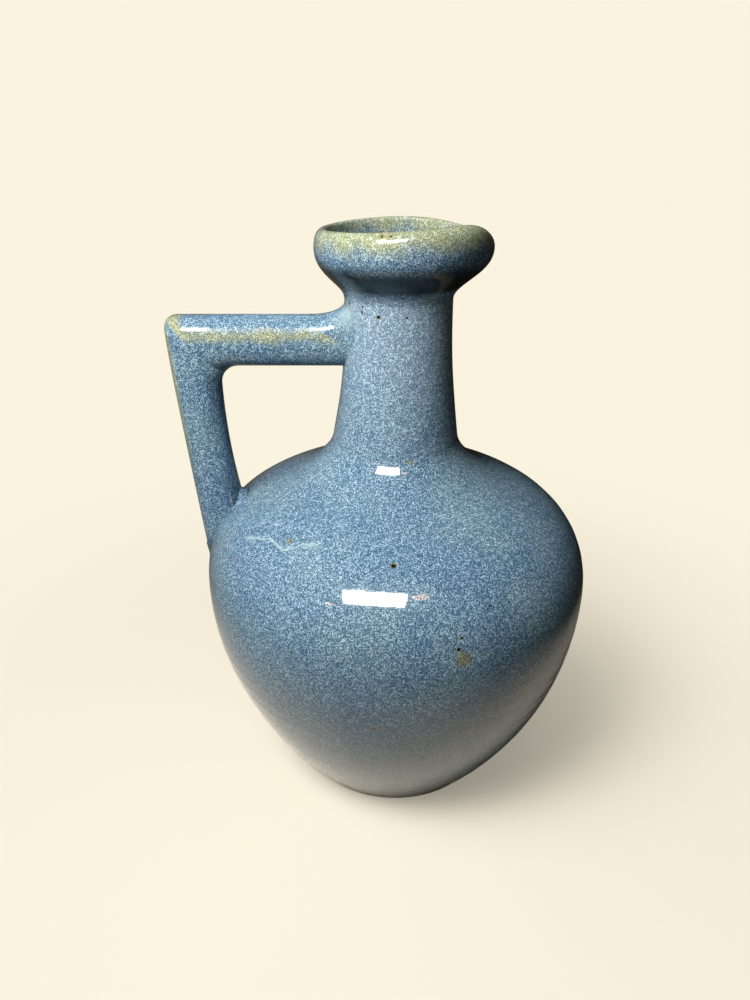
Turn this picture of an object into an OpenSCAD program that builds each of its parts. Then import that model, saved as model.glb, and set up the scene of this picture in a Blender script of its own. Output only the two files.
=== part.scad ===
// Ceramic pitcher: a round thrown body, a narrow neck, a flared mouth with a pulled
// lip, and an angular handle. Each piece of clay is a solid of its own, and the coils
// of soft clay that close the joints are pieces too. The origin is the middle of the
// foot on the table, +Z is up, the lip points to +X and the handle stands on -X.

/* [Body] */
// Height of the widest line of the belly above the table
belly_h = 94; // [78:1:114]
// Radius of the belly at its widest
belly_r = 81; // [67:0.5:98]
// Radius of the foot on the table
foot_r = 44; // [36:0.5:54]
// Lean of the wall where it leaves the foot, in degrees from upright
foot_lean = 39; // [30:1:46]
// Height of the shoulder, from the widest line up to the neck's seat
shoulder_h = 51; // [42:1:62]
// Lean of the shoulder where it reaches the neck's coil, in degrees from upright
shoulder_lean = 55; // [48:1:64]
// Thickness of the thrown wall of the body
wall = 5; // [4:0.25:6.5]
// Thickness of the floor inside the body
floor_t = 8; // [6:0.5:11]
// Width of the ring that the foot stands on
foot_ring_w = 9; // [6:0.5:12]
// Depth of the turned hollow inside the foot ring
foot_hollow_h = 3; // [1.5:0.5:4.5]

/* [Neck] */
// Radius of the neck where it sits on the body
neck_foot_r = 27.5; // [25:0.5:32]
// Radius of the neck at its narrow top
neck_top_r = 20.7; // [17:0.1:25]
// Height of the neck, from its seat up to the mouth
neck_h = 67; // [55:1:81]
// Thickness of the neck's wall
neck_wall = 4.5; // [3.75:0.25:5.5]

/* [Mouth] */
// Height of the mouth, from the neck up to the middle of the rim
mouth_h = 26.4; // [21:0.2:32]
// Radius of the mouth at its widest
mouth_r = 31.7; // [28:0.1:38]
// Thickness of the mouth's wall
mouth_wall = 5.2; // [4.4:0.2:6.2]
// How far the mouth's foot stands out over the neck
mouth_step = 0.5; // [0.2:0.1:1]
// How far the lip is pulled out
lip_reach = 4; // [1:0.5:8]
// How far the tip of the lip hangs below the rim
lip_drop = 5.6; // [2:0.2:8]
// Narrowness of the lip: larger is narrower
lip_sharpness = 10; // [4:1:16]
// Narrowness of the dip in the rim on the lip's front side: larger is narrower
lip_crease = 28; // [16:2:48]
// Narrowness of the same dip on the lip's back side
lip_slope = 4.5; // [3:0.5:8]
// How far the rim rises towards the lip, from its middle to its edge
rim_rise = 1.6; // [0:0.2:3]

/* [Handle] */
// Height of the arm's section
arm_h = 19.5; // [16:0.5:24]
// Depth of the arm's section, front to back
arm_d = 17; // [14:0.5:21]
// How far the arm's top lies below the mouth
arm_drop = 7; // [5.5:0.5:12]
// How far the grip's outer side stands outside the belly
grip_overhang = 9; // [5:0.5:16]
// Thickness of the grip at its top
grip_top_w = 20; // [16:0.5:24]
// Width of the grip's foot, measured level with its lowest edge
grip_foot_w = 25.4; // [22:0.2:30]
// Depth of the grip's section, front to back
grip_d = 18; // [15:0.5:22]
// Radius of the outer corner of the elbow
elbow_outer_r = 4.5; // [2:0.5:7]
// Radius of the inner corner of the elbow
elbow_inner_r = 8; // [5:0.5:12]
// How far below the widest line of the belly the grip's foot reaches
grip_foot_drop = 4; // [2:1:12]

/* [Joints] */
// Height of the stepped key that centres each thrown joint
key_h = 3; // [2:0.5:4]
// Layer of slip left around each key
slip = 0.2; // [0.1:0.05:0.4]
// How far the neck's coil spreads over the shoulder
coil_spread = 9; // [6:0.5:12]
// How far the neck's coil rises up the neck
coil_rise = 12; // [8:0.5:16]
// How far the handle's upper coil runs along the arm
arm_coil_l = 13; // [9:0.5:17]
// How far the handle's upper coil rises above the arm
arm_coil_rise = 5; // [3:0.5:5]
// How far the handle's coils swell to each side
coil_side = 2.5; // [1.5:0.25:4]
// How far the handle's lower coil swells under the grip
grip_coil_rise = 4; // [2:0.5:6]
// Thickness to which a smoothed coil is feathered out
feather = 0.6; // [0.4:0.1:1]

/* [Hidden] */

clay = "#4a6f96";
clay_pale = "#6d8cab";
clay_olive = "#6c7750";
clay_dark = "#33506f";

// Steps along one curve of a turned profile, and round the mouth and the handle
curve_n = 14;
mouth_n = 64;
side_n = 28;
$fn = 96;

// Heights of the joints, the rim and the arm
seat_z = belly_h + shoulder_h;
neck_top_z = seat_z + neck_h;
rim_z = neck_top_z + mouth_h;
arm_top_z = neck_top_z - arm_drop;
arm_under_z = arm_top_z - arm_h;

// A point on a curve that leaves a towards b and reaches d from c
function bend(a, b, c, d, t) =
    a * pow(1 - t, 3) + 3 * b * t * pow(1 - t, 2) + 3 * c * t * t * (1 - t) + d * pow(t, 3);
function curve(a, b, c, d, n) = [for (i = [0:n]) bend(a, b, c, d, i / n)];
function line(a, b, n) = [for (i = [0:n]) a + (b - a) * i / n];
function arc(centre, r, start, stop, n) =
    [for (i = [0:n]) centre + r * [cos(start + (stop - start) * i / n),
                                   sin(start + (stop - start) * i / n)]];
function reversed(v) = [for (i = [len(v) - 1:-1:0]) v[i]];
function slice(v, a, b) = [for (i = [a:b]) v[i]];
// The same outline moved inwards by the thickness of the wall
function inset(v, t) =
    [for (i = [0:len(v) - 1])
        let (p = v[max(i - 1, 0)], q = v[min(i + 1, len(v) - 1)], d = (q - p) / norm(q - p))
        v[i] + t * [-d[1], d[0]]];
// A number from 0 to 1 that starts and ends level
function eased(t) = t * t * (3 - 2 * t);

// Outside of the body: the bowl up to the widest line, then the shoulder.
// Each share says how far a curve runs on in its first or last direction.
bowl_share = 0.36;
shoulder_share = 0.73;
shoulder_end_share = 0.32;
lower_pull = bowl_share * belly_h;
shoulder_pull = shoulder_share * shoulder_h;
shoulder_end_pull = shoulder_end_share * shoulder_h;
// Where the neck's coil ends on the shoulder, and where the flat seat under it ends
coil_dip_share = 0.22;
seat_share = 0.4;
shoulder_end = [neck_foot_r + coil_spread, seat_z - coil_dip_share * coil_spread];
seat_edge = [neck_foot_r + seat_share * coil_spread, seat_z];
// Rounding of the foot's outer and inner edges
foot_edge = 1.2;
foot_inner_edge = 1;
bowl_curve = curve([foot_r, foot_edge],
                   [foot_r, foot_edge] + lower_pull * [sin(foot_lean), cos(foot_lean)],
                   [belly_r, belly_h - lower_pull], [belly_r, belly_h], curve_n);
shoulder_curve = curve([belly_r, belly_h], [belly_r, belly_h + shoulder_pull],
                       shoulder_end + shoulder_end_pull
                           * [sin(shoulder_lean), -cos(shoulder_lean)],
                       shoulder_end, curve_n);
body_outside = concat(bowl_curve, slice(shoulder_curve, 1, curve_n));

// Inside of the body: a rounded floor, then the wall's inner side up to the throat
throat_foot_r = neck_foot_r - neck_wall;
floor_z = foot_hollow_h + floor_t;
well_z = floor_z + floor_t;
inner_wall = [for (p = inset(body_outside, wall)) if (p[1] > well_z && p[0] > throat_foot_r) p];
floor_share = 0.55;
well_share = 0.6;
floor_reach = floor_share * inner_wall[0][0];
floor_curve = curve([0, floor_z], [floor_reach, floor_z],
                    inner_wall[0] - well_share * (well_z - floor_z) * [1, 1], inner_wall[0],
                    curve_n);
throat_z = seat_z - wall;
body_inside = concat(floor_curve, slice(inner_wall, 1, len(inner_wall) - 1),
                     [[throat_foot_r, max(throat_z, inner_wall[len(inner_wall) - 1][1])]]);

// Outside of the neck, from the top of its coil up to the mouth
coil_taper_share = 0.32;
neck_coil_top = [neck_foot_r - coil_taper_share * (neck_foot_r - neck_top_r),
                 seat_z + coil_rise];
neck_lean = 0.34;
neck_slope = 0.16;
neck_curve = curve(neck_coil_top, neck_coil_top + neck_lean * neck_h * [-neck_slope, 1],
                   [neck_top_r, neck_top_z - neck_lean * neck_h], [neck_top_r, neck_top_z],
                   curve_n);
neck_outside = concat([[neck_foot_r, seat_z]], neck_curve);
throat_r = neck_top_r - neck_wall;
neck_inside = [for (p = neck_outside) p - [neck_wall, 0]];
// Radius of the step in the middle of each key
foot_key_r = neck_foot_r - neck_wall / 2;
top_key_r = neck_top_r - neck_wall / 2;

// Section of the mouth away from the lip, from its foot up, over the rim and down inside
mouth_side_n = 9;
mouth_rim_n = 5;
mouth_wide_share = 0.72;
mouth_foot_share = 0.24;
mouth_swell_share = 0.1;
mouth_side_share = 0.4;
rim_side_share = 0.17;
rim_inside_share = 0.12;
mouth_inside_share = 0.35;
throat_share = 0.45;
rim_outer_edge = 0.7;
rim_inner_edge = 0.6;
rim_lean = 1.4;
mouth_foot_r = neck_top_r + mouth_step;
mouth_wide_z = neck_top_z + mouth_wide_share * mouth_h;
rim_r = mouth_wall / 2 + rim_lean;
rim_top = [mouth_r - rim_r, rim_z];
mouth_lower = curve([mouth_foot_r, neck_top_z],
                    [mouth_foot_r + mouth_swell_share * (mouth_r - mouth_foot_r),
                     neck_top_z + mouth_foot_share * mouth_h],
                    [mouth_r, mouth_wide_z - mouth_side_share * mouth_h],
                    [mouth_r, mouth_wide_z], mouth_side_n);
mouth_upper = curve([mouth_r, mouth_wide_z],
                    [mouth_r, mouth_wide_z + rim_side_share * mouth_h],
                    [mouth_r - rim_outer_edge, rim_z], rim_top, mouth_rim_n);
mouth_inner_r = mouth_r - mouth_wall;
mouth_lip_in = curve(rim_top, [mouth_inner_r - rim_inner_edge, rim_z],
                     [mouth_inner_r, rim_z - rim_inside_share * mouth_h],
                     [mouth_inner_r, mouth_wide_z], mouth_rim_n);
mouth_inner = curve([mouth_inner_r, mouth_wide_z],
                    [mouth_inner_r, mouth_wide_z - mouth_inside_share * mouth_h],
                    [throat_r, neck_top_z + throat_share * mouth_h], [throat_r, neck_top_z],
                    mouth_side_n);
mouth_section = concat(mouth_lower, slice(mouth_upper, 1, mouth_rim_n),
                       slice(mouth_lip_in, 1, mouth_rim_n), slice(mouth_inner, 1, mouth_side_n));
// The lip's pull at one side of the mouth, full at the tip and none behind
function lip_pull(a, narrow) = pow((1 + cos(a)) / 2, narrow);
function mouth_point(p, a) =
    let (up = eased(min(max((p[1] - neck_top_z) / mouth_h, 0), 1)),
         r = p[0] + lip_reach * lip_pull(a, lip_sharpness) * up,
         dip = lip_pull(a, sin(a) > 0 ? lip_slope : lip_crease),
         rise = rim_rise * cos(a) - lip_drop * dip)
    [r * cos(a), r * sin(a), p[1] + rise * up];

// Side outline of the handle: its outer and inner edges, from the neck round the elbow
elbow_x = -(belly_r + grip_overhang);
elbow_in_x = elbow_x + grip_top_w;
grip_foot_z = belly_h - grip_foot_drop;
grip_sink = 0.6;
grip_foot_x = -(belly_r - grip_sink);
arm_root_x = -(neck_top_r - neck_wall / 2);
arm_bend_x = elbow_in_x + elbow_inner_r;
arm_n = 4;
bend_n = 4;
// Directions round the elbow: the arm's side, the mitre and the grip's side
arm_side = 90;
mitre = 135;
grip_side = 180;
outer_turn = elbow_x + elbow_outer_r;
outer_arc = [outer_turn, arm_top_z - elbow_outer_r];
inner_arc = [arm_bend_x, arm_under_z - elbow_inner_r];
arm_outer = concat(line([arm_root_x, arm_top_z], [arm_bend_x, arm_top_z], arm_n),
                   slice(line([arm_bend_x, arm_top_z], [outer_turn, arm_top_z], bend_n), 1, bend_n),
                   slice(arc(outer_arc, elbow_outer_r, arm_side, mitre, bend_n), 1, bend_n));
arm_inner = concat(line([arm_root_x, arm_under_z], [arm_bend_x, arm_under_z], arm_n),
                   slice(arc(inner_arc, elbow_inner_r, arm_side, mitre, 2 * bend_n),
                         1, 2 * bend_n));
grip_n = 14;
grip_outer_share = 0.12;
grip_inner_share = 0.2;
grip_foot_share = 0.33;
grip_outer_lean = 0.03;
grip_inner_lean = 0.113;
grip_outer_start = [elbow_x, outer_arc[1]];
grip_inner_start = [elbow_in_x, inner_arc[1]];
grip_l = outer_arc[1] - grip_foot_z;
grip_outer = concat(arc(outer_arc, elbow_outer_r, mitre, grip_side, bend_n),
                    slice(curve(grip_outer_start,
                                grip_outer_start - [0, grip_outer_share * grip_l],
                                [grip_foot_x - grip_outer_lean * grip_l,
                                 grip_foot_z + grip_foot_share * grip_l],
                                [grip_foot_x, grip_foot_z], grip_n), 1, grip_n));
grip_inner = concat(arc(inner_arc, elbow_inner_r, mitre, grip_side, bend_n),
                    slice(curve(grip_inner_start,
                                grip_inner_start - [0, grip_inner_share * grip_l],
                                [grip_foot_x + grip_foot_w - grip_inner_lean * grip_l,
                                 grip_foot_z + grip_foot_share * grip_l],
                                [grip_foot_x + grip_foot_w, grip_foot_z], grip_n), 1, grip_n));

// One rounded section of the handle, between an outer and an inner point.
// A power of one makes it an ellipse, and a smaller power squares it.
round_power = 0.84;
function rounded(c) = sign(c) * pow(abs(c), round_power);
function ring(outer, inner, depth) =
    let (mid = (outer + inner) / 2, half = (outer - inner) / 2)
    [for (k = [0:side_n - 1])
        let (a = 360 * k / side_n, p = mid + half * rounded(cos(a)))
        [p[0], depth / 2 * rounded(sin(a)), p[1]]];
function rings(outer, inner, depth) =
    [for (i = [0:len(outer) - 1]) ring(outer[i], inner[i], depth[i])];
function flat(v) = [for (a = v) for (b = a) b];

// Depth of the section along the arm and along the grip
arm_depth = [for (p = arm_outer) arm_d];
grip_depth = [for (i = [0:len(grip_outer) - 1])
              arm_d + (grip_d - arm_d) * eased(min(i / grip_n, 1))];

// Skin of the upper coil: it grows from a feathered edge to its full rise at the neck
coil_n = 6;
cove_reach = 0.96;
arm_coil_x = line([-(neck_top_r + arm_coil_l), 0], [arm_root_x, 0], coil_n);
function cove(t) = feather + (1 - sqrt(max(1 - t * t, 0)));
arm_coil_rings = [for (i = [0:coil_n])
    let (g = cove(cove_reach * i / coil_n), x = arm_coil_x[i][0])
    ring([x, arm_top_z + feather + (g - feather) * arm_coil_rise],
         [x, arm_under_z - feather], arm_d + 2 * (feather + (g - feather) * coil_side))];
arm_coil_core = [for (i = [0:coil_n])
    ring([arm_coil_x[i][0], arm_top_z], [arm_coil_x[i][0], arm_under_z], arm_d)];

// Skin of the lower coil, round the last sections of the grip
grip_coil_sections = 7;
grip_coil_end = len(grip_outer) - 1;
grip_coil_start = grip_coil_end - grip_coil_sections;
grip_coil_n = grip_coil_end - grip_coil_start;
grip_rings = rings(grip_outer, grip_inner, grip_depth);
grip_coil_core = slice(grip_rings, grip_coil_start, grip_coil_end);
grip_coil_rings = [for (i = [0:grip_coil_n])
    let (j = grip_coil_start + i, g = eased(i / grip_coil_n),
         o = grip_outer[j], q = grip_inner[j], d = (q - o) / norm(q - o))
    ring(o - d * feather, q + d * (feather + g * grip_coil_rise),
         grip_depth[j] + 2 * (feather + g * coil_side))];

// A solid from a row of closed sections, with flat ends
module sweep(sections) {
    m = len(sections);
    walls = [for (i = [0:m - 2]) for (k = [0:side_n - 1])
             let (a = i * side_n + k, b = i * side_n + (k + 1) % side_n)
             each [[a, b, b + side_n], [a, b + side_n, a + side_n]]];
    ends = [[for (k = [side_n - 1:-1:0]) k], [for (k = [0:side_n - 1]) (m - 1) * side_n + k]];
    polyhedron(flat(sections), concat(walls, ends), convexity = 6);
}

// A sleeve between an outer and an inner row of sections
module sleeve(outer, inner) {
    m = len(outer);
    whole = m * side_n;
    walls = [for (i = [0:m - 2]) for (k = [0:side_n - 1])
             let (a = i * side_n + k, b = i * side_n + (k + 1) % side_n)
             each [[a, b, b + side_n], [a, b + side_n, a + side_n],
                   [whole + b + side_n, whole + b, whole + a],
                   [whole + a + side_n, whole + b + side_n, whole + a]]];
    ends = [for (k = [0:side_n - 1])
            let (n = (k + 1) % side_n, top = (m - 1) * side_n)
            each [[n, k, whole + k], [n, whole + k, whole + n],
                  [top + k, top + n, whole + top + n],
                  [top + k, whole + top + n, whole + top + k]]];
    polyhedron(concat(flat(outer), flat(inner)), concat(walls, ends), convexity = 8);
}

// The whole volume inside the body's outer surface, which the handle is cut against
module body_envelope() {
    rotate_extrude()
        polygon(concat([[0, foot_edge]], body_outside, [seat_edge, [0, seat_z]]));
}

// The whole volume inside the neck's outer surface
module neck_envelope() {
    rotate_extrude()
        polygon(concat([[0, seat_z]], neck_outside, [[0, neck_top_z]]));
}

// Thrown body with its floor, turned foot ring and the keyed seat for the neck
module body() {
    hollow_r = foot_r - foot_ring_w;
    color(clay)
        rotate_extrude()
            polygon(concat([[0, foot_hollow_h], [hollow_r, foot_hollow_h], [hollow_r + foot_inner_edge, 0],
                            [foot_r - foot_edge, 0]],
                           body_outside,
                           [seat_edge, [foot_key_r, seat_z], [foot_key_r, seat_z + key_h],
                            [throat_foot_r, seat_z + key_h]],
                           reversed(body_inside)));
}

// Coil of soft clay, smoothed into a cove between the shoulder and the neck
module neck_joint_coil() {
    cove_n = 10;
    cove_share = 0.5;
    cove_pull = cove_share * coil_rise;
    shoulder_way = (shoulder_curve[curve_n] - shoulder_curve[curve_n - 1])
        / norm(shoulder_curve[curve_n] - shoulder_curve[curve_n - 1]);
    neck_way = (neck_curve[1] - neck_curve[0]) / norm(neck_curve[1] - neck_curve[0]);
    cove_curve = curve(neck_coil_top, neck_coil_top - cove_pull * neck_way,
                       shoulder_end + cove_share * coil_spread * shoulder_way, shoulder_end,
                       cove_n);
    color(clay_pale)
        rotate_extrude()
            polygon(concat([seat_edge, [neck_foot_r, seat_z]], cove_curve));
}

// Thrown neck: its foot is stepped over the body's key, and its top carries the mouth's
module neck() {
    color(clay)
        rotate_extrude()
            polygon(concat([[foot_key_r + slip, seat_z]], neck_outside,
                           [[top_key_r, neck_top_z], [top_key_r, neck_top_z + key_h],
                            [throat_r, neck_top_z + key_h]],
                           reversed(slice(neck_inside, 1, len(neck_inside) - 1)),
                           [[throat_foot_r, seat_z + key_h + slip],
                            [foot_key_r + slip, seat_z + key_h + slip]]));
}

// Thrown mouth with a pulled lip, bored underneath to sit over the neck's key
module mouth_cup() {
    m = len(mouth_section);
    bore_start = 1;
    points = [for (k = [0:mouth_n - 1]) for (p = mouth_section)
              mouth_point(p, 360 * k / mouth_n)];
    faces = [for (k = [0:mouth_n - 1]) for (i = [0:m - 1])
             let (a = k * m + i, b = k * m + (i + 1) % m, c = ((k + 1) % mouth_n) * m + i,
                  d = ((k + 1) % mouth_n) * m + (i + 1) % m)
             each [[a, b, d], [a, d, c]]];
    color(clay_olive)
        difference() {
            polyhedron(points, faces, convexity = 6);
            translate([0, 0, neck_top_z - bore_start])
                cylinder(r = top_key_r + slip, h = key_h + slip + bore_start);
        }
}

// Arm of the handle, level from the neck out to the mitred elbow
module handle_arm() {
    color(clay_olive)
        difference() {
            sweep(rings(arm_outer, arm_inner, arm_depth));
            neck_envelope();
        }
}

// Grip of the handle, from the mitred elbow down to the belly
module handle_grip() {
    color(clay)
        difference() {
            sweep(grip_rings);
            body_envelope();
        }
}

// Coil of clay smoothed round the arm where it meets the neck
module handle_neck_coil() {
    color(clay_dark)
        difference() {
            sleeve(arm_coil_rings, arm_coil_core);
            neck_envelope();
        }
}

// Coil of clay smoothed round the grip's foot on the shoulder and the belly
module handle_shoulder_coil() {
    color(clay_pale)
        difference() {
            sleeve(grip_coil_rings, grip_coil_core);
            body_envelope();
        }
}

body();
neck_joint_coil();
neck();
mouth_cup();
handle_arm();
handle_grip();
handle_neck_coil();
handle_shoulder_coil();
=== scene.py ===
import bmesh
import bpy
import numpy as np
from mathutils import Matrix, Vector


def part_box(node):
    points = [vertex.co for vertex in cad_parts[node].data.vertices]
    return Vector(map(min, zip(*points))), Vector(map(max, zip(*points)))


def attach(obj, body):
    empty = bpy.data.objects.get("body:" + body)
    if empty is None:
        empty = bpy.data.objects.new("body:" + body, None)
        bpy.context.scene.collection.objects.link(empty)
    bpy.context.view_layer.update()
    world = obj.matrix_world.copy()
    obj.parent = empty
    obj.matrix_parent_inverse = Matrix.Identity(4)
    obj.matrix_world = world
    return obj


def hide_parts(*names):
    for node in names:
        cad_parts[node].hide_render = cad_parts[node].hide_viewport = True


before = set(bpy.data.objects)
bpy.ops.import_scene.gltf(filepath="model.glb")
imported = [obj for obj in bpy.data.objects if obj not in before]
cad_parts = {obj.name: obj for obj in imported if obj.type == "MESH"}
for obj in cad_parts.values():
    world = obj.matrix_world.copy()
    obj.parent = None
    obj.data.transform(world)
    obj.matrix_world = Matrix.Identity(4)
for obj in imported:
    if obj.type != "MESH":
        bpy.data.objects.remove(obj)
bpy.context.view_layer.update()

# ---------------------------------------------------------------------------
# 1. Thrown body. A stoneware belly thrown on the wheel, with its floor and its
# foot turned when leather hard. It is glazed inside and out, and the ring that
# it stands on is wiped bare, so that it does not stick to the kiln shelf.

mm = 0.001


def node_box(name):
    """The lowest and highest corner of a CAD node, in millimetres."""
    low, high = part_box(name)
    return np.array(low) / mm, np.array(high) / mm


def bend(a, b, c, d, n):
    """A cubic curve: it leaves a towards b and comes into d from c, in n steps."""
    t = np.linspace(0, 1, n + 1)[:, None]
    a, b, c, d = (np.array(p, float) for p in (a, b, c, d))
    return a * (1 - t) ** 3 + 3 * b * t * (1 - t) ** 2 + 3 * c * t * t * (1 - t) + d * t ** 3


def evenly(points, step):
    """The same line with its points a step apart: lengths are summed and read back evenly."""
    points = np.asarray(points, float)
    run = np.r_[0, np.cumsum(np.linalg.norm(np.diff(points, axis=0), axis=1))]
    n = max(int(np.ceil(run[-1] / step)), 1)
    at = np.linspace(0, run[-1], n + 1)
    return np.stack([np.interp(at, run, points[:, i]) for i in range(points.shape[1])], axis=1)


def joined(*lines):
    """Lines put end to end, each one's first point dropped where it repeats the last."""
    return np.vstack([lines[0]] + [line[1:] for line in lines[1:]])


def inset(line, t):
    """The line moved to its left by t: each point goes square to the run of its neighbours."""
    run = np.gradient(line, axis=0)
    run /= np.linalg.norm(run, axis=1)[:, None]
    return line + t * np.stack([-run[:, 1], run[:, 0]], axis=1)


def eased(t):
    """From 0 to 1, level at both ends: 3 t squared less 2 t cubed."""
    t = np.clip(t, 0, 1)
    return t * t * (3 - 2 * t)


def bump(x, middle, spread):
    """A bell 1 high at the middle: e to the power of minus half the squared distance in spreads."""
    return np.exp(-0.5 * ((x - middle) / spread) ** 2)


def kiln_shift(p):
    """The clay's slight lean after throwing and firing: each height moves a little along X."""
    z = p[..., 2]
    lean = 0.6 * bump(z, 42, 16) - 1.2 * bump(z, 127, 13) - 0.6 * bump(z, 154, 12)
    out = p.copy()
    out[..., 0] += lean
    return out


def throwing_rings(line, depth, pitch):
    """Faint rings left by the fingers: the radius ripples with height, each ring its own depth."""
    out = line.copy()
    z = line[:, 1]
    fade = eased((z - 6) / 8) * eased((seat_z - 8 - z) / 8)
    out[:, 0] += fade * depth * np.sin(2 * np.pi * z / pitch + 0.8 * np.sin(z / 17)) * (
        0.6 + 0.4 * np.sin(z / 9.3 + 1.0))
    return out


def turned(line, around):
    """A profile of radius and height turned about Z: x is r cos a and y is r sin a."""
    a = np.linspace(0, 2 * np.pi, around, endpoint=False)
    r, z = line[:, :1], line[:, 1:]
    return np.stack([r * np.cos(a), r * np.sin(a), z + 0 * a], axis=2)


def clay_piece(name, grid, turns=(False, True)):
    """A mesh from a grid of points in millimetres, joined round where turns says, poles closed."""
    rows, cols = grid.shape[:2]
    index = np.arange(rows * cols).reshape(rows, cols)
    if turns[0]:
        index = np.vstack([index, index[:1]])
    if turns[1]:
        index = np.hstack([index, index[:, :1]])
    faces = np.stack([index[:-1, :-1], index[:-1, 1:], index[1:, 1:], index[1:, :-1]], axis=2)
    mesh = bpy.data.meshes.new(name)
    mesh.from_pydata(grid.reshape(-1, 3) * mm, [], faces.reshape(-1, 4).tolist())
    work = bmesh.new()
    work.from_mesh(mesh)
    bmesh.ops.remove_doubles(work, verts=work.verts, dist=1e-6)
    bmesh.ops.recalc_face_normals(work, faces=work.faces)
    work.to_mesh(mesh)
    work.free()
    mesh.shade_smooth()
    mesh.set_sharp_from_angle(angle=np.radians(38))
    piece = bpy.data.objects.new(name, mesh)
    bpy.context.scene.collection.objects.link(piece)
    return piece


box_clearance = 0.1
belly_r = node_box("body")[1][0] - box_clearance
belly_z = 94.0
seat_z = node_box("neck")[0][2]
foot_r = 44.0
foot_lean = np.radians(39)
foot_round = 1.2
foot_ring_w = 9.0
bowl_pull = 33.8
belly_pull = 37.0
shoulder_pull = 16.0
foot_hollow_h = 3.0
wall = 5.0
floor_z = 11.0
neck_foot_r = node_box("neck")[1][0]
shoulder_end = np.array([neck_foot_r + 9.0, seat_z - 2.0])
shoulder_lean = np.radians(54)
throat_foot_r = neck_foot_r - 4.5
key_r = neck_foot_r - 2.25
key_h = 3

bowl = bend((foot_r, foot_round),
            (foot_r + bowl_pull * np.sin(foot_lean), foot_round + bowl_pull * np.cos(foot_lean)),
            (belly_r, belly_z - bowl_pull), (belly_r, belly_z), 160)
shoulder = bend((belly_r, belly_z), (belly_r, belly_z + belly_pull),
                shoulder_end + shoulder_pull * np.array([np.sin(shoulder_lean),
                                                         -np.cos(shoulder_lean)]),
                shoulder_end, 120)
outside = evenly(joined(bowl, shoulder), 1.1)
inside = inset(evenly(joined(bowl, shoulder), 2.2), wall)
inside = inside[(inside[:, 1] > 20) & (inside[:, 0] > throat_foot_r)]
floor_line = bend((0, floor_z), (0.55 * inside[0, 0], floor_z), inside[0] - (6, 7), inside[0], 24)
underside = joined(evenly([(0, foot_hollow_h), (foot_r - foot_ring_w, foot_hollow_h)], 2.5),
                   bend((foot_r - foot_ring_w, foot_hollow_h), (foot_r - foot_ring_w + 1.5, 2.6),
                        (foot_r - foot_ring_w + 0.6, 0.0), (foot_r - foot_ring_w + 2.4, 0), 6),
                   evenly([(foot_r - foot_ring_w + 2.4, 0), (foot_r - 1.4, 0)], 1.2),
                   bend((foot_r - 1.4, 0), (foot_r - 0.6, 0), (foot_r - 0.3, 0.4),
                        (foot_r, foot_round), 4))
seat = np.array([shoulder_end, (neck_foot_r + 3.6, seat_z), (key_r, seat_z),
                 (key_r, seat_z + key_h), (throat_foot_r, seat_z + key_h),
                 (throat_foot_r, inside[-1, 1])])
shoulder_way = (shoulder[-1] - shoulder[-2]) / np.linalg.norm(shoulder[-1] - shoulder[-2])
tuck = shoulder_end + 0.8 * shoulder_way
body_line = joined(underside, throwing_rings(outside, 0.05, 7.0),
                   np.array([shoulder_end, tuck, tuck - (0.5, 0.9)]),
                   np.array([tuck - (0.5, 0.9), seat[1]]),
                   seat[1:], throwing_rings(inside, 0.25, 8.0)[::-1], floor_line[::-1])
body = clay_piece("body", kiln_shift(turned(body_line, 384)))
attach(body, "root")
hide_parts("body")


def linear(code):
    """A colour written as sRGB hex, turned to the linear values that a shader mixes."""
    c = np.array([int(code[i:i + 2], 16) for i in (1, 3, 5)]) / 255
    c = np.where(c <= 0.04045, c / 12.92, ((c + 0.055) / 1.055) ** 2.4)
    return (*c, 1.0)


def add(tree, kind, links=(), **settings):
    """A node with its settings: links pairs each input with the socket or value that feeds it."""
    node = tree.nodes.new(kind)
    for key, value in settings.items():
        setattr(node, key, value)
    for key, value in dict(links).items():
        if isinstance(value, bpy.types.NodeSocket):
            tree.links.new(value, node.inputs[key])
        else:
            node.inputs[key].default_value = value
    return node


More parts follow.
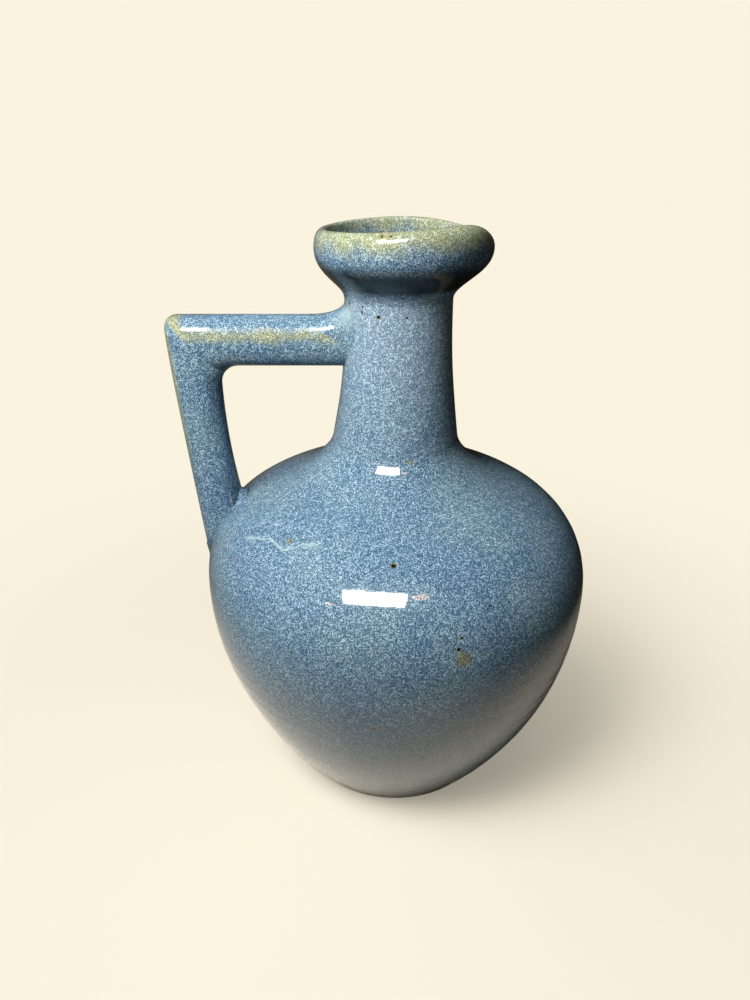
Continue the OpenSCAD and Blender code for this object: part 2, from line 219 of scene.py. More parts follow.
def blue_reactive_glaze(name, pits):
    """Thick glossy blue stoneware glaze: pale crystals float in a clear dark blue glass.

    It gives the eye a dense worm-like speckle about half a millimetre across, olive where the
    glaze ran thin off an edge, near black where it pooled and in painted shade, paler and greyer
    at the foot as a painted reflection of the floor, milkier up the neck partly as painted light,
    and sharp reflections on top.
    """
    material = bpy.data.materials.new(name)
    material.use_nodes = True
    tree = material.node_tree
    tree.nodes.clear()

    def maths(operation, a, b=0.5, clamp=False):
        return add(tree, "ShaderNodeMath", {0: a, 1: b}, operation=operation,
                   use_clamp=clamp).outputs[0]

    def ramp(value, low, high, start=0.0, end=1.0):
        return add(tree, "ShaderNodeMapRange",
                   {"Value": value, "From Min": low, "From Max": high,
                    "To Min": start, "To Max": end}, interpolation_type="SMOOTHSTEP").outputs[0]

    def blend(amount, a, b):
        return add(tree, "ShaderNodeMix", {"Factor": amount, 6: a, 7: b},
                   data_type="RGBA").outputs[2]

    def noise(size_mm, detail=2.0, rough=0.5, twist=0.0):
        return add(tree, "ShaderNodeTexNoise",
                   {"Vector": place, "Scale": 1 / size_mm, "Detail": detail,
                    "Roughness": rough, "Distortion": twist}).outputs["Fac"]

    def painted(name):
        return add(tree, "ShaderNodeAttribute", attribute_name=name).outputs["Fac"]

    coords = add(tree, "ShaderNodeTexCoord").outputs["Object"]
    place = add(tree, "ShaderNodeVectorMath", {0: coords, "Scale": 1 / mm},
                operation="SCALE").outputs[0]

    # Pale crystals about half a millimetre across, in two layers of floating colour
    crystals = ramp(noise(0.48, 1.0, 0.5, 0.15), 0.43, 0.64)
    fine = ramp(noise(1.5, 1.0, 0.5), 0.3, 0.7)
    crystals = maths("MULTIPLY", crystals, maths("ADD", maths("MULTIPLY", fine, 0.7), 0.45), True)
    clouds = ramp(noise(26, 2.0), 0.35, 0.65)
    patches = noise(9, 2.0)
    thin = maths("ADD", painted("thin"), maths("MULTIPLY", maths("SUBTRACT", patches, 0.5),
                                               painted("edge_break")), True)
    pool_and_shade = painted("pool_and_shade")
    ground = blend(clouds, linear("#345a7c"), linear("#436884"))
    specks = blend(clouds, linear("#a2c3dd"), linear("#b0cedf"))
    colour = blend(crystals, ground, specks)
    olive = blend(crystals, linear("#7c8668"), linear("#cbd4be"))
    # Milky paleness: white crystals, laid on thicker up the neck as painted light too
    milky_and_lit = blend(crystals, linear("#6484a0"), linear("#c6dcee"))
    colour = blend(painted("milk_and_light"), colour, milky_and_lit)
    colour = blend(ramp(thin, 0.15, 0.85), colour, olive)
    # Near black: pooled glaze, and painted shade on the lower belly and under the cup
    pooled_and_shaded = blend(crystals, linear("#010c14"), linear("#0e2a3a"))
    colour = blend(pool_and_shade, colour, pooled_and_shaded)
    # Painted reflection of the pale floor, paler and greyer towards the foot
    colour = blend(painted("foot"), colour, blend(crystals, linear("#84928f"), linear("#a9b4ae")))
    colour = blend(painted("slip"), colour, linear("#b9d3dd"))

    # Sparse dark pinholes, one cell in three
    cells = add(tree, "ShaderNodeTexVoronoi", {"Vector": place, "Scale": 1 / 9.0},
                feature="F1")
    pin = ramp(cells.outputs["Distance"], 0.02, 0.055, 1.0, 0.0)
    some = ramp(add(tree, "ShaderNodeSeparateColor", {"Color": cells.outputs["Color"]}).outputs[0],
                0.60, 0.62)
    pin = maths("MULTIPLY", pin, some)
    colour = blend(maths("MULTIPLY", pin, 0.7), colour, linear("#20343a"))

    # Burst bubbles: each has a dark pit, and an ochre halo that is uneven
    pit_way = halo_way = 9.0
    for x, y, z, core, halo in pits:
        away = add(tree, "ShaderNodeVectorMath", {0: place, 1: (x, y, z)},
                   operation="DISTANCE").outputs["Value"]
        to_pit, to_halo = maths("DIVIDE", away, core), maths("DIVIDE", away, halo)
        pit_way = maths("MINIMUM", pit_way, to_pit)
        halo_way = maths("MINIMUM", halo_way, to_halo)
    uneven = maths("MULTIPLY", maths("SUBTRACT", noise(1.3), 0.5), 1.2)
    halo_way = maths("ADD", halo_way, uneven)
    colour = blend(ramp(halo_way, 0.6, 1.15, 0.7, 0.0), colour,
                   blend(crystals, linear("#6f6a36"), linear("#a39f72")))
    core = ramp(maths("ADD", pit_way, maths("MULTIPLY", uneven, 0.3)), 0.75, 1.15, 1.0, 0.0)
    colour = blend(core, colour, linear("#12120b"))

    # A wavy line of pale slip, left where the lower coil was smoothed on to the shoulder
    x_y_z = add(tree, "ShaderNodeSeparateXYZ", {"Vector": place}).outputs
    turn = maths("MULTIPLY", maths("ARCTAN2", x_y_z[1], x_y_z[0]), 180 / np.pi)
    line_z = maths("ADD", maths("MULTIPLY", turn, 0.16), 151.1)
    line_z = maths("ADD", line_z, maths("MULTIPLY", maths("SUBTRACT", noise(7.0), 0.5), 6.0))
    off = maths("ABSOLUTE", maths("SUBTRACT", x_y_z[2], line_z), 0.0)
    along = maths("MULTIPLY", ramp(turn, -154, -147), ramp(turn, -124, -116, 1.0, 0.0))
    slip_line = maths("MULTIPLY", ramp(off, 0.1, 0.6, 0.55, 0.0), along)
    colour = blend(slip_line, colour, linear("#b4d2d4"))

    # Orange peel of the melted surface, a few hundredths of a millimetre high
    height = maths("ADD", maths("MULTIPLY", noise(5.0, 1.0), 0.05),
                   maths("MULTIPLY", maths("ADD", core, maths("MULTIPLY", pin, 0.5)), -0.25))
    height = maths("ADD", height, maths("MULTIPLY", slip_line, 0.12))
    relief = add(tree, "ShaderNodeBump", {"Height": height, "Distance": mm, "Strength": 1.0})
    shader = add(tree, "ShaderNodeBsdfPrincipled",
                 {"Base Color": colour, "Roughness": 0.4, "IOR": 1.5, "Specular IOR Level": 0.1,
                  "Coat Weight": maths("SUBTRACT", 1.0, painted("dry")),
                  "Coat Roughness": 0.03, "Coat IOR": 1.5,
                  "Normal": relief.outputs[0], "Coat Normal": relief.outputs[0]})
    add(tree, "ShaderNodeOutputMaterial", {"Surface": shader.outputs[0]})
    return material


def burst_bubbles(line, marks, shape=kiln_shift):
    """Where the glaze burst: each mark gives a turn in degrees, a height, a pit and a halo radius.

    The place lies on the piece's own profile: turned that far, shaped, and read at that height.
    """
    places = []
    for turn, height, core, halo in marks:
        a = np.radians(turn)
        edge = shape(np.stack([line[:, 0] * np.cos(a), line[:, 0] * np.sin(a), line[:, 1]], axis=1))
        at = [float(np.interp(height, edge[:, 2], edge[:, i])) for i in range(3)]
        places.append((*at, core, halo))
    return places


def glazed(piece, thin=None, pool_and_shade=None, foot=None, slip=None, milk_and_light=None, dry=None,
           pits=(), edge_break=0.0):
    """Gives a piece the glaze, dents it at each burst bubble, and paints how thick the glaze lies,
    with painted shade, painted light and a painted reflection of the floor in some of its layers.

    A dent's depth falls off as e to the power of minus the squared distance.
    """
    mesh = piece.data
    place = np.empty(3 * len(mesh.vertices))
    mesh.vertices.foreach_get("co", place)
    slope = np.empty(3 * len(mesh.vertices))
    mesh.vertex_normals.foreach_get("vector", slope)
    place, slope = place.reshape(-1, 3) / mm, slope.reshape(-1, 3)
    for x, y, z, core, _ in pits:
        away = np.linalg.norm(place - (x, y, z), axis=1) / (core + 0.5)
        place -= slope * (0.55 * core * np.exp(-away * away))[:, None]
    mesh.vertices.foreach_set("co", (place * mm).ravel())
    mesh.update()
    painted = {"thin": thin, "pool_and_shade": pool_and_shade, "foot": foot, "slip": slip, "milk_and_light": milk_and_light,
               "dry": dry}
    for name, rule in painted.items():
        value = np.zeros(len(place)) if rule is None else np.clip(rule(place, slope), 0, 1)
        layer = mesh.attributes.new(name, "FLOAT", "POINT")
        layer.data.foreach_set("value", value.astype(np.float32))
    layer = mesh.attributes.new("edge_break", "FLOAT", "POINT")
    layer.data.foreach_set("value", np.full(len(place), edge_break, np.float32))
    mesh.materials.append(blue_reactive_glaze("blue_reactive_glaze_on_" + piece.name, pits))


def body_foot_painted_reflection(p, n):
    """Painted reflection of the pale floor: paler and greyer towards the foot."""
    return 0.95 * (1 - eased((p[:, 2] - 3) / 24))


def body_painted_shade(p, n):
    """Painted shade: deeper blue from the widest line to above the foot, as the belly turns down.
    """
    return 0.30 * eased((100 - p[:, 2]) / 35) * eased((p[:, 2] - 8) / 30)


body_pits = burst_bubbles(outside, [
    (-91, 130, 1.0, 1.5), (-75, 105, 0.8, 1.2), (-74, 101, 0.1, 3.2), (-74, 109, 0.5, 0.8),
    (-97, 70, 0.75, 1.6), (-119, 99, 0.45, 0.7), (-64, 117, 0.5, 0.7), (-131, 131, 0.35, 1.2),
    (-80, 75, 0.4, 0.9), (-150, 119, 0.5, 0.8), (-133, 143, 0.6, 0.9)])
glazed(body, pool_and_shade=body_painted_shade, foot=body_foot_painted_reflection, pits=body_pits, edge_break=0.5)

# Fired stoneware with its glaze wiped off: dull and warm grey-brown, with a fine grit
bare = bpy.data.materials.new("bare_fired_stoneware")
bare.use_nodes = True
clay = bare.node_tree
shader = clay.nodes["Principled BSDF"]
shader.inputs["Roughness"].default_value = 0.85
spot = add(clay, "ShaderNodeTexCoord").outputs["Object"]
grit = add(clay, "ShaderNodeTexNoise", {"Vector": spot, "Scale": 1 / (0.9 * mm), "Detail": 3.0})
tone = add(clay, "ShaderNodeMix", {"Factor": grit.outputs["Fac"], 6: linear("#7b6a56"),
                                   7: linear("#a8977d")}, data_type="RGBA")
rough = add(clay, "ShaderNodeBump", {"Height": grit.outputs["Fac"], "Distance": 0.1 * mm})
clay.links.new(tone.outputs[2], shader.inputs["Base Color"])
clay.links.new(rough.outputs[0], shader.inputs["Normal"])
body.data.materials.append(bare)
middle = np.empty(3 * len(body.data.polygons))
body.data.polygons.foreach_get("center", middle)
middle = middle.reshape(-1, 3) / mm
wiped = (middle[:, 2] < 0.6) & (np.hypot(middle[:, 0], middle[:, 1]) > foot_r - foot_ring_w - 1)
body.data.polygons.foreach_set("material_index", wiped.astype(np.int32))

# ---------------------------------------------------------------------------
# 2. Coil between the shoulder and the neck. A roll of soft clay, pressed into
# the corner and smoothed with a wet finger until it is a cove with no edges.

neck_top_z = node_box("mouth_cup")[0][2]
neck_top_r = 20.7
neck_pull = 22.8
coil_r = 25.3
coil_h = 12.0
coil_top = np.array([coil_r, seat_z + coil_h])
coil_way = np.array([-0.16, 1.0]) / np.hypot(0.16, 1)
cove = bend(shoulder_end, shoulder_end + 4.8 * shoulder_way, coil_top - 6.2 * coil_way,
            coil_top, 40)
coil_line = joined(evenly(cove, 0.8), np.array([coil_top, (neck_foot_r - 0.1, seat_z)]),
                   np.array([(neck_foot_r - 0.1, seat_z), (neck_foot_r + 3.6, seat_z)]))
neck_coil = clay_piece("neck_joint_coil", kiln_shift(turned(coil_line, 256)), (True, True))
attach(neck_coil, "root")
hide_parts("neck_joint_coil")
glazed(neck_coil, pits=burst_bubbles(cove, [(-78, 155, 0.7, 1.8)]), edge_break=0.4)

# ---------------------------------------------------------------------------
# 3. Thrown neck. A narrow collar that tapers to a straight throat. It was cut
# from the wheel, set over the body's key, and slipped on.

neck_wall = 4.5
neck_line = bend(coil_top, coil_top + neck_pull * coil_way, (neck_top_r, neck_top_z - neck_pull),
                 (neck_top_r, neck_top_z), 120)
throat_r = neck_top_r - neck_wall
neck_inside = np.array([(throat_foot_r, seat_z), *(evenly(neck_line, 2.5) - (neck_wall, 0))])
neck_full = joined(np.array([(neck_foot_r, seat_z), coil_top]), evenly(neck_line, 0.9),
                   np.array([(neck_top_r, neck_top_z), (throat_r, neck_top_z)]),
                   neck_inside[::-1],
                   np.array([(throat_foot_r, seat_z), (neck_foot_r, seat_z)]))
neck = clay_piece("neck", kiln_shift(turned(neck_full, 256)), (True, True))
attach(neck, "root")
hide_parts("neck")


def neck_milk_and_painted_light(p, n):
    """Paler and milkier up the neck: white crystals lie thicker, with painted light laid on them.
    """
    return 0.30 + 0.70 * eased((p[:, 2] - 165) / 40)


def joint_slip(p, n):
    """A pale bubbly patch where the arm's coil was smoothed on to the neck."""
    away = np.linalg.norm(p - (-19.0, -8.0, 207.5), axis=1)
    return 0.6 * np.exp(-0.5 * (away / 3.5) ** 2)


neck_pits = burst_bubbles(neck_line, [
    (-171, 209, 0.9, 1.6), (-154, 211, 0.5, 0.8), (-131, 211, 0.4, 0.6), (-132, 209, 0.5, 0.8),
    (-112, 208, 0.6, 0.9), (-83, 208, 0.4, 0.6)])
glazed(neck, slip=joint_slip, milk_and_light=neck_milk_and_painted_light, pits=neck_pits, edge_break=0.4)

# ---------------------------------------------------------------------------
# 4. Mouth. A flared cup thrown on top of the neck, its rim rounded with a strip
# of chamois. The lip is pulled out between two fingers while the clay is wet.

mouth_r = -node_box("mouth_cup")[0][0]
mouth_h = 26.35
rim_z = neck_top_z + mouth_h
mouth_wall = 5.2
widest_z = neck_top_z + 0.72 * mouth_h
rim_r = mouth_r - 4.0
mouth_in_r = mouth_r - mouth_wall
lip_reach = 3.9
lip_sharpness = 10
lip_drop = 5.6
lip_slope = 4.5
lip_crease = 28
rim_rise = 1.6
mouth_line = joined(
    evenly(bend((neck_top_r + 0.05, neck_top_z), (neck_top_r + 0.9, neck_top_z + 5.5),
                (mouth_r, widest_z - 10.2), (mouth_r, widest_z), 80), 0.7),
    bend((mouth_r, widest_z), (mouth_r, widest_z + 4.2), (rim_r + 2.9, rim_z), (rim_r, rim_z), 12),
    bend((rim_r, rim_z), (mouth_in_r - 0.6, rim_z), (mouth_in_r, rim_z - 3.2),
         (mouth_in_r, widest_z), 12),
    evenly(bend((mouth_in_r, widest_z), (mouth_in_r, widest_z - 9.5),
                (throat_r, neck_top_z + 12), (throat_r, neck_top_z), 60), 1.2),
    np.array([(throat_r, neck_top_z), (neck_top_r + 0.05, neck_top_z)]))


def pulled_lip(p):
    """The lip: a power of the cosine pulls it out and dips its tip, and the rim rises towards it.

    The dip is narrow on the front side and slopes away gently on the back side.
    """
    a = np.arctan2(p[..., 1], p[..., 0])
    up = eased((p[..., 2] - neck_top_z) / mouth_h)
    near = (1 + np.cos(a)) / 2
    r = np.hypot(p[..., 0], p[..., 1]) + lip_reach * near ** lip_sharpness * up
    rise = rim_rise * np.cos(a) - lip_drop * near ** np.where(a > 0, lip_slope, lip_crease)
    return np.stack([r * np.cos(a), r * np.sin(a), p[..., 2] + rise * up], axis=-1)


mouth = clay_piece("mouth_cup", kiln_shift(pulled_lip(turned(mouth_line, 256))), (True, True))
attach(mouth, "root")
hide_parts("mouth_cup")


def rim_thin(p, n):
    """The glaze runs off the rounded rim, so the clay's olive shows, most of all beside the lip."""
    a = np.arctan2(p[:, 1], p[:, 0])
    height = p[:, 2] - rim_z - 1.5 * np.cos(a)
    return (0.80 + 0.12 * np.cos(a + 0.4)) * eased((height + 15) / 15)


def mouth_pool_and_shade(p, n):
    """Dark where the cup turns under to the neck: glaze gathered thick there, with painted shade.
    """
    outer = np.hypot(p[:, 0], p[:, 1]) > neck_top_r - 1
    above = p[:, 2] - neck_top_z
    return outer * eased((above - 3.4) / 2.2) * eased((16 - above) / 6)


def mouth_milk_and_painted_light(p, n):
    """The neck's milky paleness, glaze and painted light, runs on to the foot of the mouth."""
    return 0.9 * (1 - eased((p[:, 2] - neck_top_z - 1.5) / 3.5))


def rim_dry(p, n):
    """Duller on the far side of the rim, where the glaze is thinnest."""
    return 0.8 * eased((p[:, 1] - 8) / 8) * eased((p[:, 2] - rim_z + 5) / 3)


def lip_shift(p):
    """The pull of the lip, then the kiln's lean, in the order that the mouth went through them."""
    return kiln_shift(pulled_lip(p))


mouth_out = mouth_line[:int(np.argmax(mouth_line[:, 1])) + 1]
mouth_pits = burst_bubbles(mouth_out, [
    (-103, 237, 0.4, 1.2), (-97, 237, 0.4, 1.0), (-160, 225, 0.8, 1.1), (-157, 223, 0.5, 0.8),
    (-87, 215, 0.5, 0.8), (-165, 213, 0.6, 0.9)], lip_shift)
glazed(mouth, thin=rim_thin, pool_and_shade=mouth_pool_and_shade, milk_and_light=mouth_milk_and_painted_light, dry=rim_dry, pits=mouth_pits,
       edge_break=0.8)

# ---------------------------------------------------------------------------
# 5. Handle's arm. A thick strap of clay cut square, set level against the neck
# and mitred to the grip at the elbow, with its edges rounded by a damp sponge.

arm_low, arm_high = node_box("handle_arm")
arm_top = arm_high[2]
arm_h = 19.5
arm_under = arm_top - arm_h
squareness = 0.84
arm_depth = arm_high[1] - arm_low[1]
elbow_x = node_box("handle_grip")[0][0]
grip_top_w = 20.0
elbow_round = 4.5
elbow_in = 8.0
bend_x = elbow_x + grip_top_w + elbow_in
corner = np.array([elbow_x + elbow_round, arm_top - elbow_round])
hollow = np.array([bend_x, arm_under - elbow_in])


def arc(centre, r, start, stop, n):
    """Points round part of a circle, from one angle in degrees to another."""
    a = np.radians(np.linspace(start, stop, n + 1))[:, None]
    return centre + r * np.hstack([np.cos(a), np.sin(a)])


def spread(line, n):
    """The line read back as n even steps."""
    run = np.r_[0, np.cumsum(np.linalg.norm(np.diff(line, axis=0), axis=1))]
    at = np.linspace(0, run[-1], n + 1)
    return np.stack([np.interp(at, run, line[:, i]) for i in range(2)], axis=1)


def strap(outer, inner, depth, around=96, power=squareness):
    """Rounded sections between two side lines: a power of the cosine and sine squares them."""
    a = np.linspace(0, 2 * np.pi, around, endpoint=False)
    c = np.sign(np.cos(a)) * np.abs(np.cos(a)) ** power
    s = np.sign(np.sin(a)) * np.abs(np.sin(a)) ** power
    middle, half = (outer + inner)[:, None] / 2, (outer - inner)[:, None] / 2
    side = middle + half * c[None, :, None]
    y = depth[:, None] / 2 * s[None, :]
    return np.stack([side[..., 0], y, side[..., 1]], axis=2)


root_x = -(neck_top_r - 3.0)
arm_outer = joined(spread(np.array([(root_x, arm_top), (bend_x, arm_top)]), 60),
                   spread(joined(np.array([(bend_x, arm_top), (corner[0], arm_top)]),
                                 arc(corner, elbow_round, 90, 135, 12)), 24))
arm_inner = joined(spread(np.array([(root_x, arm_under), (bend_x, arm_under)]), 60),
                   arc(hollow, elbow_in, 90, 135, 24))
arm_grid = strap(arm_outer, arm_inner, np.full(len(arm_outer), arm_depth))


def capped(grid):
    """The grid with its first and last sections drawn in to a point, which closes the piece."""
    first = grid[0].mean(axis=0) + (grid[0] - grid[0].mean(axis=0)) * np.array([[[0.0]], [[0.6]]])
    last = grid[-1].mean(axis=0) + (grid[-1] - grid[-1].mean(axis=0)) * np.array([[[0.6]], [[0.0]]])
    return np.vstack([first, grid, last])


arm = clay_piece("handle_arm", capped(arm_grid))
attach(arm, "root")
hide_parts("handle_arm")


def arm_thin(p, n):
    """Thin in a band along the arm's upper front and round the elbow's outer corner."""
    edge = bump(p[:, 2], arm_top - 6.3, 2.2) * eased(-n[:, 1])
    end = eased((elbow_x + 11 - p[:, 0]) / 8)
    return 0.7 * edge + 0.9 * end


def arm_dark_below(p, n):
    """Darker under the arm."""
    return 0.95 * eased((arm_under + 4.5 - p[:, 2]) / 5)


def arm_dry(p, n):
    """Too thin to shine along the arm's top edge, from just inside the elbow to the neck's coil."""
    return 0.9 * eased((p[:, 0] + 76) / 7) * eased((p[:, 2] - arm_top + 13) / 4) * eased(
        (-26 - p[:, 0]) / 6)


glazed(arm, thin=arm_thin, pool_and_shade=arm_dark_below, dry=arm_dry, edge_break=0.9)

# ---------------------------------------------------------------------------
# 6. Handle's grip. The second strap, mitred to the arm and leaning in to the
# belly, a little slimmer at its foot. The thumb and two fingers close round it.

grip_n = 120
grip_foot_w = 25.4
outer_share = 0.12
inner_share = 0.2
foot_share = 0.33
outer_lean = 0.03
inner_lean = 0.113
foot_x = -(belly_r - 0.6)
foot_z = belly_z - 4.0
grip_run = corner[1] - foot_z
grip_outer = joined(arc(corner, elbow_round, 135, 180, 12),
                    bend((elbow_x, corner[1]), (elbow_x, corner[1] - outer_share * grip_run),
                         (foot_x - outer_lean * grip_run, foot_z + foot_share * grip_run),
                         (foot_x, foot_z), grip_n))
grip_inner = joined(arc(hollow, elbow_in, 135, 180, 12),
                    bend((elbow_x + grip_top_w, hollow[1]),
                         (elbow_x + grip_top_w, hollow[1] - inner_share * grip_run),
                         (foot_x + grip_foot_w - inner_lean * grip_run,
                          foot_z + foot_share * grip_run),
                         (foot_x + grip_foot_w, foot_z), grip_n))
grip_depth = arm_depth + 1.0 * eased(np.linspace(0, 1.2, len(grip_outer)))
grip_grid = strap(grip_outer, grip_inner, grip_depth)
grip = clay_piece("handle_grip", capped(grip_grid))
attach(grip, "root")
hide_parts("handle_grip")


def grip_thin(p, n):
    """Thin down the grip's outer edge."""
    return 0.75 * eased((-n[:, 0] - 0.35) / 0.5) * eased((p[:, 2] - 120) / 50)


def grip_dark_inside(p, n):
    """Darker on the inside, in the corner under the arm and low by the shoulder."""
    inner = eased((n[:, 0] - 0.2) / 0.6)
    return inner * (0.6 * eased((p[:, 2] - 150) / 40) + 0.5 * eased((150 - p[:, 2]) / 20))


glazed(grip, thin=grip_thin, pool_and_shade=grip_dark_inside, edge_break=0.7)

# ---------------------------------------------------------------------------
# 7. Coil round the arm at the neck. Soft clay pressed into the corner and drawn
# up the neck with a finger, so that the arm flows into the neck above and beside.


def neck_radius(z):
    """The neck's outer radius at a height, read off its outline, with the mouth above it."""
    whole = np.vstack([np.array([(neck_foot_r, seat_z)]), neck_line, mouth_line[1:30]])
    return np.interp(z, whole[:, 1], whole[:, 0])


def body_radius(z):
    """The body's outer radius at a height."""
    return np.interp(z, outside[:, 1], outside[:, 0])


around = 128
turn = np.linspace(0, 2 * np.pi, around, endpoint=False)
c = np.sign(np.cos(turn)) * np.abs(np.cos(turn)) ** squareness
s = np.sign(np.sin(turn)) * np.abs(np.sin(turn)) ** squareness
above = eased((np.cos(turn) + 0.55) / 1.2)
arm_mid = (arm_top + arm_under) / 2
arm_half = (arm_top - arm_under) / 2
start_x = -(neck_top_r + 2.0 + 11.5 * above)
start = np.stack([start_x, arm_depth / 2 * s, arm_mid + arm_half * c], axis=1)


def on_neck(grow):
    """The line where the coil ends on the neck, grown outwards from the arm by a share."""
    y = (arm_depth / 2 + (1.0 + 5.0 * above) * grow) * s
    z = arm_mid + (arm_half + (0.5 + 8.0 * above) * grow) * c
    r = neck_radius(z)
    return np.stack([-np.sqrt(np.maximum(r * r - y * y, 0)), y, z], axis=1)


end = on_neck(1.0)
leave = on_neck(1.08) - end
leave /= np.linalg.norm(leave, axis=1)[:, None]
reach = np.linalg.norm(end - start, axis=1)[:, None]
sleeve = bend(start.ravel(), (start + (0.5 * reach) * (1, 0, 0)).ravel(),
              (end - 0.45 * reach * leave).ravel(), end.ravel(), 28).reshape(-1, around, 3)
core = np.stack([on_neck(0.3) + (3.0, 0, 0), start * (1, 0.8, 1) + (1.0, 0, 0)])
core[1, :, 2] = arm_mid + (start[:, 2] - arm_mid) * 0.8
arm_coil = clay_piece("handle_neck_coil", np.vstack([sleeve, core]), (True, True))
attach(arm_coil, "root")
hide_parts("handle_neck_coil")
glazed(arm_coil, pool_and_shade=arm_dark_below, slip=joint_slip, edge_break=0.9)

# ---------------------------------------------------------------------------
# 8. Coil round the grip's foot. The grip is scored and slipped to the shoulder,
# and clay is smoothed round it, leaving a pale wavy line of slip under the glaze.

pick = strap(grip_outer, grip_inner, grip_depth, around)
column = np.arange(around)
start_z = 119.5 - 12.5 * c
grip_at = np.array([np.interp(-z, -line[:, 2], np.arange(len(line)))
                    for z, line in zip(start_z, pick.transpose(1, 0, 2))])
row = np.floor(grip_at).astype(int)
part = (grip_at - row)[:, None]
start = pick[row, column] * (1 - part) + pick[row + 1, column] * part
way = pick[row + 3, column] - pick[row, column]
way /= np.linalg.norm(way, axis=1)[:, None]


def on_body(grow):
    """The line where the coil ends on the shoulder and belly, grown outwards by a share."""
    y = (arm_depth / 2 + 5.0 * grow) * s
    z = 113.8 - (14.6 + 1.4 * grow) * c
    r = body_radius(z)
    return np.stack([-np.sqrt(np.maximum(r * r - y * y, 0)), y, z], axis=1)


end = on_body(1.0)
leave = on_body(1.2) - end
leave /= np.linalg.norm(leave, axis=1)[:, None]
reach = np.linalg.norm(end - start, axis=1)[:, None]
sleeve = bend(start.ravel(), (start + 0.45 * reach * way).ravel(),
              (end - 0.45 * reach * leave).ravel(), end.ravel(), 28).reshape(-1, around, 3)
inward = np.array([1.0, 0, 0])
core = np.stack([end + 3.0 * inward, start * (1, 0.8, 1) + 1.5 * inward])
grip_coil = clay_piece("handle_shoulder_coil", kiln_shift(np.vstack([sleeve, core])), (True, True))
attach(grip_coil, "root")
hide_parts("handle_shoulder_coil")
glazed(grip_coil, pool_and_shade=grip_dark_inside, edge_break=0.6)

# ---------------------------------------------------------------------------
# 9. The studio: a pale paper sweep, a soft box above the camera and two small
# warm lamps that only the glaze mirrors, a close lamp on the upper left with wide
# soft daylight behind it, a dim room, and the camera at eye height.

paper = bpy.data.materials.new("matt_cream_paper")
paper.use_nodes = True
sheet = paper.node_tree
sheet.nodes.clear()
seen = add(sheet, "ShaderNodeLightPath")
# Pale as the camera sees it, dim for light that bounces on, and fading out with distance
near = add(sheet, "ShaderNodeBsdfDiffuse", {"Color": linear("#f4f0e6")})
dark = add(sheet, "ShaderNodeBsdfDiffuse", {"Color": linear("#605d55")})
haze = add(sheet, "ShaderNodeEmission", {"Color": linear("#faf3df")})
away = add(sheet, "ShaderNodeVectorMath",
           {0: add(sheet, "ShaderNodeTexCoord").outputs["Object"]}, operation="LENGTH")
far = add(sheet, "ShaderNodeMapRange", {"Value": away.outputs["Value"], "From Min": -0.15,
                                        "From Max": 0.38}, interpolation_type="SMOOTHSTEP")
faded = add(sheet, "ShaderNodeMixShader", {0: far.outputs[0], 1: near.outputs[0],
                                           2: haze.outputs[0]})
# As the glaze mirrors it: pale close by, then grey on the left and nearly black on the right
across = add(sheet, "ShaderNodeSeparateXYZ",
             {0: add(sheet, "ShaderNodeTexCoord").outputs["Object"]}).outputs[0]
right = add(sheet, "ShaderNodeMapRange", {"Value": across, "From Min": -0.20, "From Max": 0.08})
flags = add(sheet, "ShaderNodeMix", {"Factor": right.outputs[0], 6: linear("#7a766c"),
                                     7: linear("#23211d")}, data_type="RGBA")
close = add(sheet, "ShaderNodeMapRange", {"Value": away.outputs["Value"], "From Min": 0.08,
                                          "From Max": 0.24}, interpolation_type="SMOOTHSTEP")
shine = add(sheet, "ShaderNodeMix", {"Factor": close.outputs[0], 6: linear("#f4f0e6"),
                                     7: flags.outputs[2]}, data_type="RGBA")
mirrored = add(sheet, "ShaderNodeBsdfDiffuse", {"Color": shine.outputs[2]})
bounced = add(sheet, "ShaderNodeMixShader", {0: seen.outputs["Is Glossy Ray"], 1: dark.outputs[0],
                                             2: mirrored.outputs[0]})
shown = add(sheet, "ShaderNodeMixShader", {0: seen.outputs["Is Camera Ray"],
                                           1: bounced.outputs[0], 2: faded.outputs[0]})
add(sheet, "ShaderNodeOutputMaterial", {"Surface": shown.outputs[0]})
floor_x = np.linspace(-4.0, 4.0, 9) / mm
sweep = np.stack([*np.meshgrid(floor_x, floor_x), np.zeros((9, 9))], axis=2)
floor = clay_piece("paper_sweep", sweep, (False, False))
floor.data.materials.append(paper)


def panel(name, place, across, up, size, power, colour):
    """A rectangular soft light whose sides run along two given directions, across and up."""
    light = bpy.data.lights.new(name, "AREA")
    light.shape = "RECTANGLE"
    light.size, light.size_y = size
    light.energy = power
    light.color = linear(colour)[:3]
    lamp = bpy.data.objects.new(name, light)
    across, up = np.array(across, float), np.array(up, float)
    across /= np.linalg.norm(across)
    back = np.cross(across, up)
    back /= np.linalg.norm(back)
    turned_to = np.eye(4)
    turned_to[:3, 0], turned_to[:3, 1], turned_to[:3, 2] = across, np.cross(back, across), back
    turned_to[:3, 3] = place
    lamp.matrix_world = Matrix(turned_to.tolist())
    bpy.context.scene.collection.objects.link(lamp)
    return lamp


# The soft box's gleam: a sharp white rectangle in the glaze, which lights nothing else
gleam = panel("soft_box", (-0.109, -0.430, 0.554), (0.98, -0.18, 0.07), (0, 0.76, 0.65),
              (0.342, 0.177), 5.0, "#fff8f0")
gleam.visible_diffuse = False

# Two small warm room lamps, seen only as glints in the glaze
for hand, spot, level, rising in (
        ("left", (-0.36, -0.46, 0.43), (0.75, -0.66, 0), (0.36, 0.41, 0.84)),
        ("right", (0.136, -0.404, 0.60), (0.93, 0.36, 0), (-0.28, 0.75, 0.6))):
    glint = panel("warm_lamp_" + hand, spot, level, rising, (0.07, 0.045), 0.10, "#ffc9a4")
    glint.visible_diffuse = False

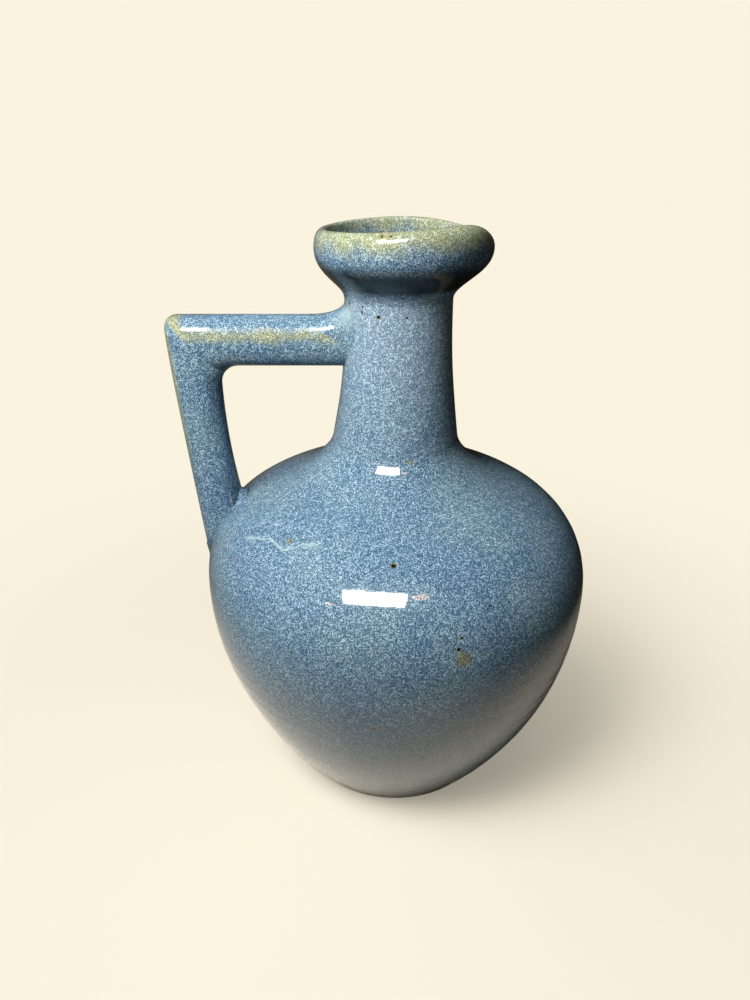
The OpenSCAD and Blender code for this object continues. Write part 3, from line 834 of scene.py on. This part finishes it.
# The lamp that lights the pitcher, close above it and to the left
lamp = panel("near_lamp", (-0.15, -0.22, 0.42), (0.83, -0.56, 0.0), (0.28, 0.42, 0.86),
             (0.14, 0.14), 1.6, "#fffaf2")
lamp.visible_glossy = False

# Wide soft daylight from the left, which the glaze does not mirror
daylight = bpy.data.lights.new("window", "SUN")
daylight.energy = 1.8
daylight.angle = np.radians(40)
daylight.color = linear("#fff6ea")[:3]
window = bpy.data.objects.new("window", daylight)
window.rotation_euler = (np.radians(19.3), np.radians(-32), 0)
window.visible_glossy = False
bpy.context.scene.collection.objects.link(window)

# The room gives a dim fill, paler on the left, and the glaze mirrors it dark on the right
world = bpy.data.worlds.new("room")
bpy.context.scene.world = world
world.use_nodes = True
room = world.node_tree
room.nodes.clear()
way = add(room, "ShaderNodeTexCoord").outputs["Generated"]
side = add(room, "ShaderNodeSeparateXYZ", {"Vector": way}).outputs[0]
dim = add(room, "ShaderNodeMapRange", {"Value": side, "From Min": -0.9, "From Max": 0.1,
                                       "To Min": 0.26, "To Max": 0.02}).outputs[0]
soft = add(room, "ShaderNodeMapRange", {"Value": side, "From Min": -0.9, "From Max": 0.9,
                                        "To Min": 0.14, "To Max": 0.03}).outputs[0]
seen = add(room, "ShaderNodeLightPath")
fill = add(room, "ShaderNodeMix", {"Factor": seen.outputs["Is Glossy Ray"], 2: soft, 3: dim},
           data_type="FLOAT").outputs[0]
lit = add(room, "ShaderNodeMix", {"Factor": seen.outputs["Is Camera Ray"], 2: fill, 3: 1.0},
          data_type="FLOAT").outputs[0]
sky = add(room, "ShaderNodeBackground", {"Color": linear("#faf3df"), "Strength": lit})
add(room, "ShaderNodeOutputWorld", {"Surface": sky.outputs[0]})
bpy.context.scene.view_settings.view_transform = "Standard"

camera = bpy.data.cameras.new("camera")
camera.lens = 28.0
camera.sensor_width = 36.0
camera.clip_start = 0.01
eye = bpy.data.objects.new("camera", camera)
eye.location = (-0.009, -0.300, 0.268)
eye.rotation_euler = (np.radians(64.73), 0, 0)
bpy.context.scene.collection.objects.link(eye)
bpy.context.scene.camera = eye
